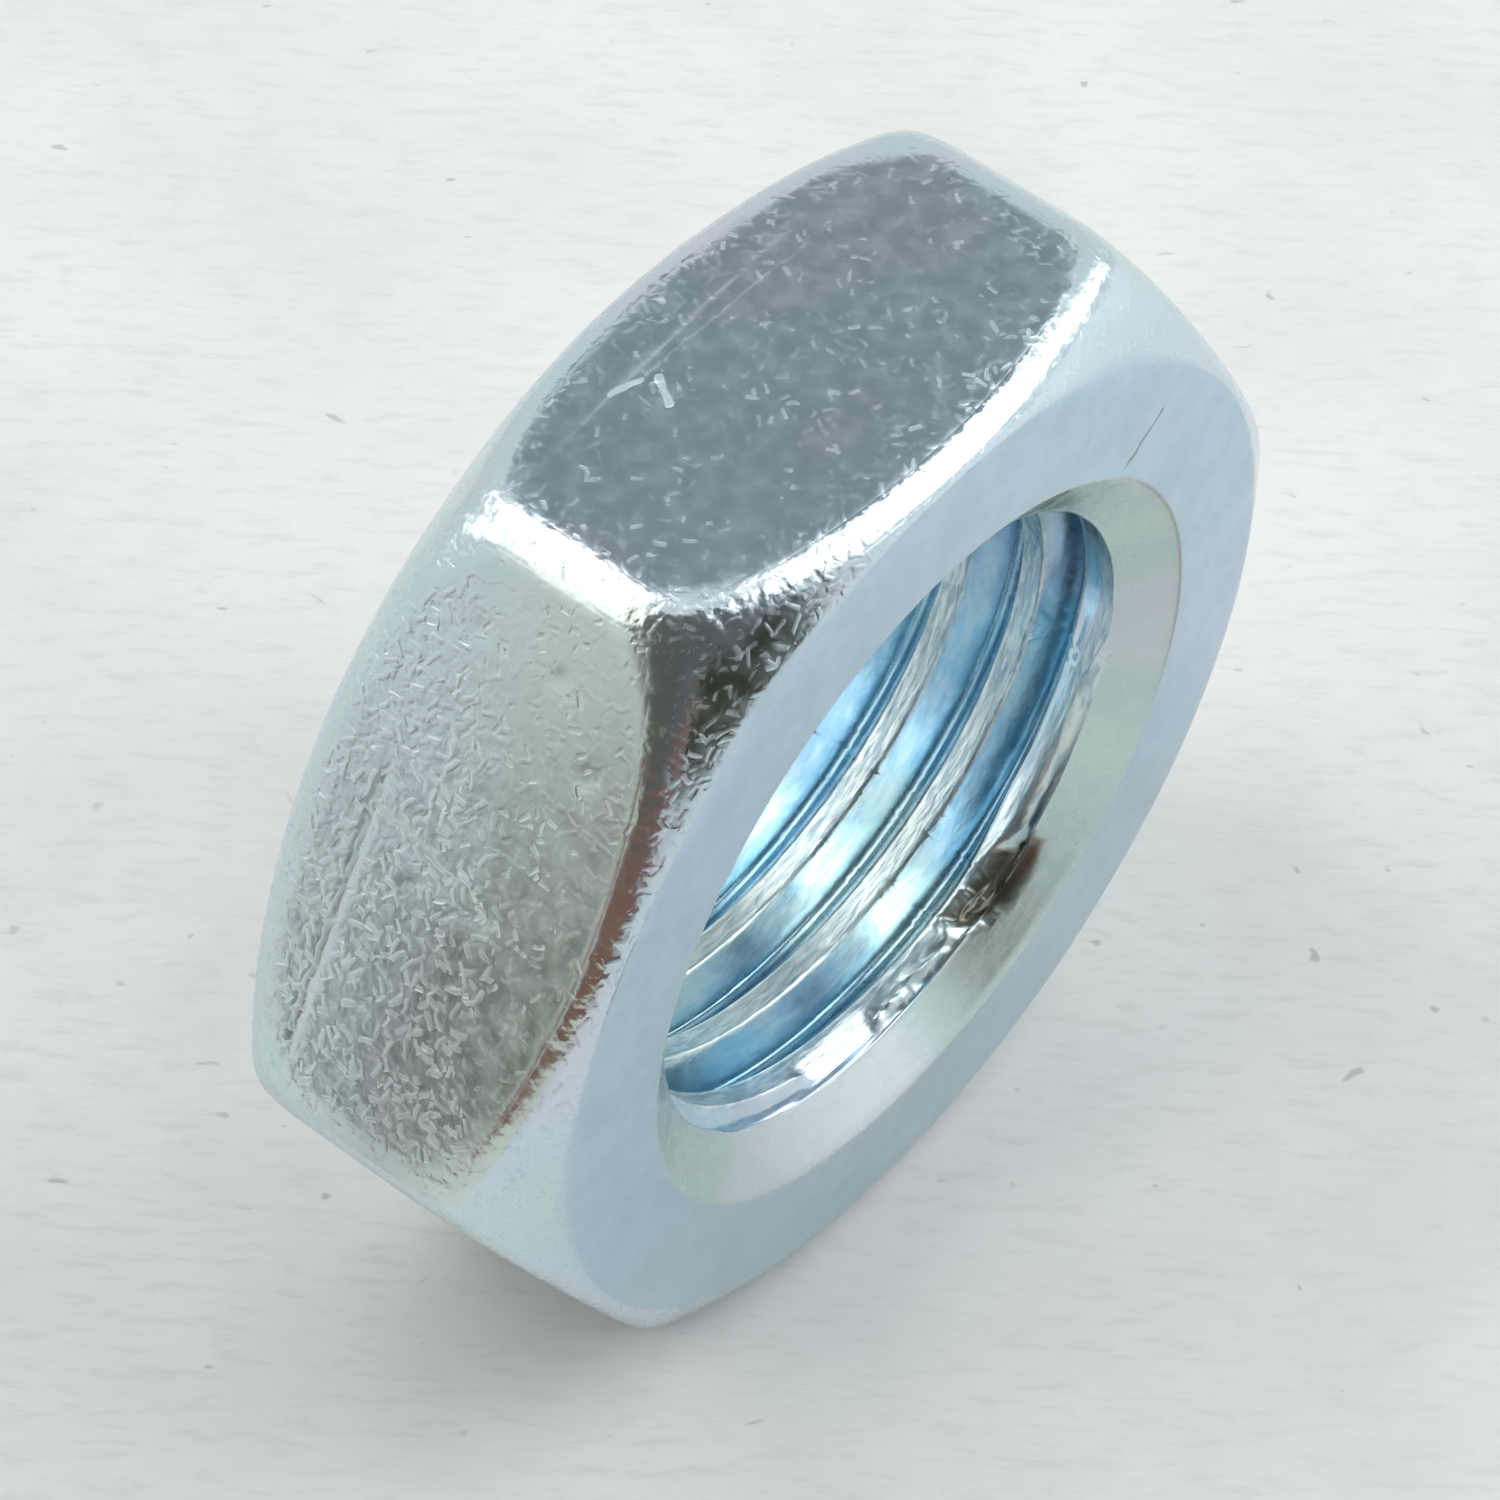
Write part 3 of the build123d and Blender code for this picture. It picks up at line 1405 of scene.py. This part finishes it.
    def mesh(self, grid: Array, zones: list[Zone], bore_angles: Array,
             bore_y: Array) -> bpy.types.Object:
        """Turn the grid into an object.

        Args:
            grid: Points of shape (rows, columns, 3).
            zones: Zone of each row.
            bore_angles: Angle of each point in the bore.
            bore_y: Position along Y of each point in the bore.

        Returns:
            The object, with its zones and wear stored as attributes.
        """
        rows, count, _ = grid.shape
        zone = np.array(zones)[:, None] * np.ones((1, count), dtype=int)
        outer = np.stack([zone == item for item in OUTSIDE], axis=-1).astype(float)
        relief = SurfaceRelief(self.form)
        spots = grid.reshape(-1, 3)
        shares = outer.reshape(-1, 3)
        depth = relief.depth(spots, shares[:, Zone.FLAT], shares.sum(axis=-1))
        depth = depth.reshape(rows, count)
        points = grid - self.normals(grid) * depth[..., None]

        inner = np.zeros((rows, count, 3))
        inner[..., Inside.SINK] = zone == Zone.SINK
        bore = zone == Zone.THREAD
        first = int(np.argmax(bore[:, 0]))
        part = slice(first, first + len(bore_y))
        proud = self.bore.sink_radius(bore_y) - self.bore.open_thread(bore_angles, bore_y)
        sunk = smoothstep(-0.02, 0.06, proud)
        offset = self.bore.groove_offset(bore_angles, bore_y)
        edge = self.bore.crest_start
        crest = smoothstep(edge - 0.10, edge + 0.02, np.abs(offset))
        torn = self.bore.torn_share(bore_angles, bore_y)
        # The torn patch is coloured like the countersink, and in part like a crest.
        sound = 1.0 - torn
        inner[part, :, Inside.SINK] = np.maximum(sunk * sound, 0.9 * torn)
        inner[part, :, Inside.FLANK] = (1.0 - sunk) * (1.0 - crest) * sound
        inner[part, :, Inside.CREST] = np.maximum((1.0 - sunk) * crest * sound, 0.45 * torn)
        # The root share paints shade: it darkens the bottom of each groove to a deeper blue.
        root = np.zeros((rows, count))
        bottom = self.bore.root_half
        root[part] = (1.0 - smoothstep(bottom, bottom + 0.24, np.abs(offset))) * (1.0 - sunk)

        number, along = relief.flat_frame(spots)
        turned = self.turned_share(grid, outer).reshape(-1)
        wear = self.wear(spots, number, along, shares, turned)
        tone = self.tone(spots, number, along, shares)

        index = np.arange(rows * count).reshape(rows, count)
        down = np.roll(index, -1, axis=0)
        beside = [np.roll(corner, -1, axis=1) for corner in (down, index)]
        quads = np.stack([index, down, *beside], axis=-1).reshape(-1, 4)
        made = add_mesh(PIECE, (points.reshape(-1, 3) * MM).tolist(), quads.tolist())
        made.data.polygons.foreach_set("use_smooth", np.ones(len(quads), dtype=bool))
        for name, values in (("outer", outer), ("inner", inner), ("wear", wear),
                             ("tone", tone), ("root", root)):
            store(made.data, name, values)
        made.data.validate()
        made.data.update()
        return made

    def turned_share(self, grid: Array, outer: Array) -> Array:
        """Find the rounded edges: where the surface faces between the main directions.

        Args:
            grid: Points of shape (rows, columns, 3).
            outer: Zone shares outside the bore, of shape (rows, columns, 3).

        Returns:
            0 on the flats, chamfers and faces, up to 1 on the roundings between them.
        """
        normal = self.normals(grid)
        middle = np.radians(HALF_SIDE + SIDE_ANGLE * np.arange(SIDES))
        flats = np.stack([np.cos(middle), np.zeros(SIDES), np.sin(middle)], axis=-1)
        squareness = (normal @ flats.T).max(axis=-1)
        slope = math.radians(self.form.chamfer_angle)
        reach = np.hypot(grid[..., 0], grid[..., 2])
        lifted = (normal[..., 0] * grid[..., 0] + normal[..., 2] * grid[..., 2]) / reach
        cone = lifted * math.sin(slope) + np.abs(normal[..., 1]) * math.cos(slope)
        flush = np.maximum(np.maximum(squareness, cone), np.abs(normal[..., 1]))
        return smoothstep(0.003, 0.03, 1.0 - flush) * outer.sum(axis=-1)

    def wear(self, points: Array, number: Array, along: Array, outer: Array,
             turned: Array) -> Array:
        """Spread the tumbling marks over the surface.

        Args:
            points: Array of shape (n, 3).
            number: Flat that each point is nearest to.
            along: Distance along that flat.
            outer: Zone shares of each point outside the bore.
            turned: Share of each point that lies on a rounded edge.

        Returns:
            Array of shape (n, 3): strokes, flecks and the swell of the edges.
        """
        across = points[:, 1]
        face, chamfer, flat = outer.T
        strokes = smoothstep(-0.15, 0.35, lattice_noise(points / 4.5, Seed.STROKES)) * flat
        # The left flat is scored towards its back and far end, and stays smooth in one corner.
        scored = smoothstep(-0.8, 1.4, (along + 4.0) * 0.45 + (across - 0.5) * 0.9)
        corner = np.hypot((along - 3.8) / 3.2, (across + 4.3) / 2.1)
        calm = 1.0 - smoothstep(0.85, 1.15, corner)
        left = 0.16 + 0.90 * scored * (1.0 - 0.9 * calm)
        strokes = np.where((number == Flat.UPPER_LEFT) & (flat > 0), left, strokes)
        # The top flat is scored along its rim.
        rim = smoothstep(2.6, 4.6, np.maximum(np.abs(across), np.abs(along) - 4.2))
        strokes = np.where((number == Flat.TOP) & (flat > 0), 0.09 + 0.40 * rim, strokes)
        angles = bearings(points) % 360.0
        patch = window((124.0, 132.0), (178.0, 190.0), angles)
        strokes = strokes + (0.66 + 0.40 * patch) * chamfer + 0.05 * face
        flecks = np.where(number == Flat.TOP, 0.75, 1.2 - 0.9 * calm) * flat
        flecks = flecks + 0.4 * chamfer + 0.08 * face
        uneven = 0.55 + 0.45 * lattice_noise(points / 2.4, Seed.UNEVEN)
        return np.stack([strokes, flecks, turned * uneven * (1.0 - face)], axis=-1)

    def tone(self, points: Array, number: Array, along: Array, outer: Array) -> Array:
        """Spread the green and pink tints and the brown dirt, painted shade and painted reflection.

        Args:
            points: Array of shape (n, 3).
            number: Flat that each point is nearest to.
            along: Distance along that flat.
            outer: Zone shares of each point outside the bore.

        Returns:
            Array of shape (n, 3): green, pink, and brown dirt with painted shade and reflection.
        """
        across = points[:, 1]
        face, _, flat = outer.T
        left = (number == Flat.UPPER_LEFT) & (flat > 0)
        drift = lattice_noise(points / 5.0, Seed.DRIFT)
        drift = drift + 0.5 * lattice_noise(points / 2.2, Seed.FINE_DRIFT)
        calm = 1.0 - 0.7 * face
        green = 0.45 * smoothstep(0.1, 0.9, drift) * calm
        pink = 0.40 * smoothstep(-0.1, -0.9, drift) * calm
        # The faces turn greener towards the bottom.
        green = np.maximum(green, 0.35 * face * smoothstep(2.0, -15.0, points[:, 2]))
        # On the left flat the green is a painted reflection, strongest towards the front.
        reflected_green = smoothstep(1.5, -3.5, across + 0.25 * along)
        green = np.where(left, 0.15 + 0.7 * reflected_green, green)
        pink = np.where(left, 0.0, pink)
        angles = bearings(points)
        reach = np.hypot(points[:, 0], points[:, 2])
        # A brown darkening lies along a part of the countersink's front rim, and the brown in the
        # gouge is a painted dark reflection.
        mouth = self.bore.mouth_radius
        rim = bell(reach - mouth, 0.06) * (across < -0.9 * self.form.half)
        dirt_and_shade = 0.6 * rim * window((-25.0, 0.0), (35.0, 55.0), angles)
        pit = self.bore.pit(angles, across) + 0.3 * lattice_noise(points / 0.4, Seed.DIRT_AND_SHADE)
        dirt_and_shade = dirt_and_shade + 0.84 * (1.0 - smoothstep(0.84, 0.96, pit)) * (reach < mouth)
        # On the left flat the brown follows the worn area, and a belt and a front patch darken it
        # as painted shade.
        worn = smoothstep(-0.2, 1.0, (along + 1.0) * 0.5 + (across - 1.0) * 0.4)
        worn = worn * smoothstep(8.6, 7.0, np.abs(along))
        front = smoothstep(-1.5, -4.0, across) * smoothstep(-1.0, -4.0, along)
        belt = smoothstep(-1.0, 4.0, along) * bell(across + 1.0, 1.9)
        left_dirt_and_shade = left * flat * (0.06 * worn + 0.26 * belt + 0.08 * front)
        return np.stack([green, pink, dirt_and_shade + left_dirt_and_shade], axis=-1)

    def dress(self, piece: bpy.types.Object) -> None:
        """Give the piece its material and tie it to the frame.

        Args:
            piece: The built object.
        """
        piece.data.materials.append(self.finish.material("zinc_plate_blue"))
        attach(piece, BODY)
        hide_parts(NODE)


@dataclass(frozen=True)
class PaperGround:
    """A pale, faintly mottled sheet that the nut stands on."""

    level: float
    size: float = 900.0
    pale: Colour = (0.77, 0.785, 0.77, 1.0)
    shade: Colour = (0.71, 0.725, 0.71, 1.0)
    fibre: Colour = (0.62, 0.64, 0.62, 1.0)
    speck: Colour = (0.30, 0.31, 0.30, 1.0)
    turn: float = -53.0

    def material(self) -> bpy.types.Material:
        """Make the paper's material.

        Returns:
            The material.
        """
        weave = Weave("pale_ground")
        place = weave.place()
        cloud = weave.noise(place, 14.0, detail=4.0, rough=0.6)
        fibre = weave.noise(place, 0.5, detail=3.0, rough=0.7, warp=0.3, stretch=(4.0, 1.0, 1.0))
        speck = weave.noise(place, 0.9, detail=1.5, rough=0.6, warp=0.5, stretch=(1.6, 1.0, 1.0))
        speck = weave.ramp(speck, 0.72, 0.78, 0.0, 0.5)
        colour = weave.tint(weave.ramp(cloud, 0.35, 0.7), self.pale, self.shade)
        colour = weave.tint(weave.ramp(fibre, 0.46, 0.74, 0.0, 0.5), colour, self.fibre)
        shader = weave.node("BsdfPrincipled")
        weave.link(weave.tint(speck, colour, self.speck), shader.inputs["Base Color"])
        shader.inputs["Roughness"].default_value = 0.75
        shader.inputs["Specular IOR Level"].default_value = 0.2
        weave.bump(shader, weave.noise(place, 0.8, detail=4.0, rough=0.6), 0.01 * MM)
        return weave.finish(shader)

    def build(self) -> bpy.types.Object:
        """Build the sheet.

        Returns:
            The stage object.
        """
        side = self.size * MM / 2.0
        corners = [(-side, -side, 0), (side, -side, 0), (side, side, 0), (-side, side, 0)]
        made = add_mesh("ground", corners, [(0, 1, 2, 3)])
        made.location.z = self.level
        made.rotation_euler.z = math.radians(self.turn)
        made.data.materials.append(self.material())
        return made


@dataclass(frozen=True)
class StudioCard:
    """A curved card around the nut that the metal reflects: bright for a light, dark for a flag.

    Bearings are counted from -Y towards +X, and heights from the ground up, both in degrees.
    """

    name: str
    bearings: Span
    heights: Span
    glow: Point
    strength: float = 1.0
    distance: float = 420.0
    feather: float = 5.0
    shades_ground: bool = False
    lights_ground: bool = True
    mirrored: bool = True
    steps: int = 40

    def material(self) -> bpy.types.Material:
        """Make an even glow that fades out at the card's edges.

        Returns:
            The material.
        """
        weave = Weave(self.name)
        glow = weave.node("Emission")
        glow.inputs["Color"].default_value = (*self.glow, 1.0)
        glow.inputs["Strength"].default_value = self.strength
        clear = weave.node("BsdfTransparent")
        mix = weave.node("MixShader")
        weave.link(weave.attribute("cover"), mix.inputs[0])
        weave.link(clear.outputs[0], mix.inputs[1])
        weave.link(glow.outputs[0], mix.inputs[2])
        made = weave.finish(mix)
        # The cards are so wide that rays find them without being aimed at them, which is quicker.
        made.cycles.emission_sampling = "NONE"
        return made

    def build(self) -> bpy.types.Object:
        """Build the card.

        Returns:
            The stage object.
        """
        steps = self.steps
        points, cover = [], []
        for height in np.linspace(*self.heights, steps + 1):
            for bearing in np.linspace(*self.bearings, steps + 1):
                turn, lift = math.radians(bearing), math.radians(height)
                reach = self.distance * MM
                points.append((reach * math.sin(turn) * math.cos(lift),
                               -reach * math.cos(turn) * math.cos(lift), reach * math.sin(lift)))
                edge = np.array([bearing - self.bearings[0], self.bearings[1] - bearing,
                                 height - self.heights[0], self.heights[1] - height])
                cover.append(float(np.prod(smoothstep(0.0, self.feather, edge))))
        line = steps + 1
        starts = [row * line + col for row in range(steps) for col in range(steps)]
        faces = [(start, start + 1, start + line + 1, start + line) for start in starts]
        made = add_mesh(self.name, points, faces)
        store(made.data, "cover", np.array(cover))
        made.data.materials.append(self.material())
        made.visible_camera = False
        made.visible_shadow = self.shades_ground
        made.visible_diffuse = self.lights_ground
        made.visible_glossy = self.mirrored
        return made


@dataclass(frozen=True)
class ProductCamera:
    """The camera, aimed from its bearing and height around the nut's centre."""

    azimuth: float = -53.03
    elevation: float = 50.867
    roll: float = 2.962
    distance: float = 170.6
    lens: float = 144.4
    slide: Span = (0.707, 0.089)

    def build(self) -> bpy.types.Object:
        """Build the camera and make it the scene's own.

        Returns:
            The camera object.
        """
        turn, lift, tilt = (math.radians(value)
                            for value in (self.azimuth, self.elevation, self.roll))
        back = Vector((math.sin(turn) * math.cos(lift), -math.cos(turn) * math.cos(lift),
                       math.sin(lift)))
        level = Vector((math.cos(turn), math.sin(turn), 0.0))
        upward = back.cross(level)
        right = math.cos(tilt) * level + math.sin(tilt) * upward
        above = math.cos(tilt) * upward - math.sin(tilt) * level
        place = (self.distance * back - self.slide[0] * right - self.slide[1] * above) * MM
        data = bpy.data.cameras.new("product_camera")
        data.lens = self.lens
        data.sensor_width = 36.0
        data.clip_start = 0.005
        made = bpy.data.objects.new("product_camera", data)
        turned = Matrix((right, above, back)).transposed().to_4x4()
        made.matrix_world = Matrix.Translation(place) @ turned
        bpy.context.scene.collection.objects.link(made)
        bpy.context.scene.camera = made
        return made


@dataclass
class Studio:
    """The ground, the even room light and the cards."""

    ground: PaperGround
    room: Point = (0.73, 0.755, 0.77)
    cards: tuple[StudioCard, ...] = field(default_factory=lambda: (
        StudioCard("key_card", (-156.0, -108.0), (12.0, 74.0), WARM, 1.6, feather=8.0),
        StudioCard("key_core", (-186.0, -148.0), (42.0, 74.0), WARM, 3.4),
        StudioCard("top_card", (142.0, 202.0), (56.0, 80.0), WARM, 2.4),
        StudioCard("window_card", (14.5, 78.0), (3.0, 68.0), COOL, 2.7, feather=10.0),
        StudioCard("window_head", (62.0, 108.0), (48.0, 72.0), COOL, 2.4),
        StudioCard("ceiling_flag", (102.0, 150.0), (40.0, 63.0), (0.25, 0.29, 0.32),
                   distance=380.0, lights_ground=False),
        StudioCard("operator_flag", (-108.0, 13.0), (10.0, 84.0), (0.12, 0.125, 0.125),
                   distance=165.0, lights_ground=False),
        StudioCard("wall_shade", (-108.0, 13.0), (10.0, 84.0), (0.36, 0.38, 0.38),
                   distance=350.0, shades_ground=True, mirrored=False),
        StudioCard("bench_flag", (-102.0, -8.0), (-12.0, 16.0), (0.225, 0.12, 0.10),
                   distance=200.0, feather=4.0, lights_ground=False),
        StudioCard("stand_flag", (-13.0, 13.2), (-5.0, 18.0), (0.040, 0.041, 0.024),
                   distance=110.0, feather=1.5, lights_ground=False),
        StudioCard("side_bench", (-117.0, -98.0), (-6.0, 10.0), (0.12, 0.126, 0.112),
                   distance=150.0, feather=8.0, lights_ground=False),
    ))

    def build(self) -> list[bpy.types.Object]:
        """Build the stage.

        Returns:
            The stage objects.
        """
        world = bpy.data.worlds.new("room_light")
        world.use_nodes = True
        back = world.node_tree.nodes["Background"]
        back.inputs["Color"].default_value = (*self.room, 1.0)
        back.inputs["Strength"].default_value = 1.0
        bpy.context.scene.world = world
        view = bpy.context.scene.view_settings
        view.view_transform = "Standard"
        view.look = "None"
        return [self.ground.build()] + [card.build() for card in self.cards]


def main() -> None:
    logging.basicConfig(level=logging.INFO, format="%(name)s: %(message)s")
    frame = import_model()
    low, high = (Vector(corner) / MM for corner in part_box(NODE))
    threads = [mount for mount in frame["record"]["mounts"] if mount["name"] == "thread"]
    form = HexagonForm(across_flats=high.z - low.z, thickness=high.y - low.y)
    bore = ThreadedBore(half=form.half, minor_radius=threads[0]["dims"]["r_mm"])
    nut = JamNut(form, bore, ZincPlate())
    piece = nut.build()
    nut.dress(piece)
    LOG.info("%s: %d faces, %.1f mm across flats", piece.name, len(piece.data.polygons),
             form.across_flats)
    for stage in Studio(PaperGround(level=low.z * MM)).build():
        LOG.info("stage: %s", stage.name)
    LOG.info("camera: %s", ProductCamera().build().name)
    bpy.context.view_layer.update()


if __name__ == "__main__":
    main()
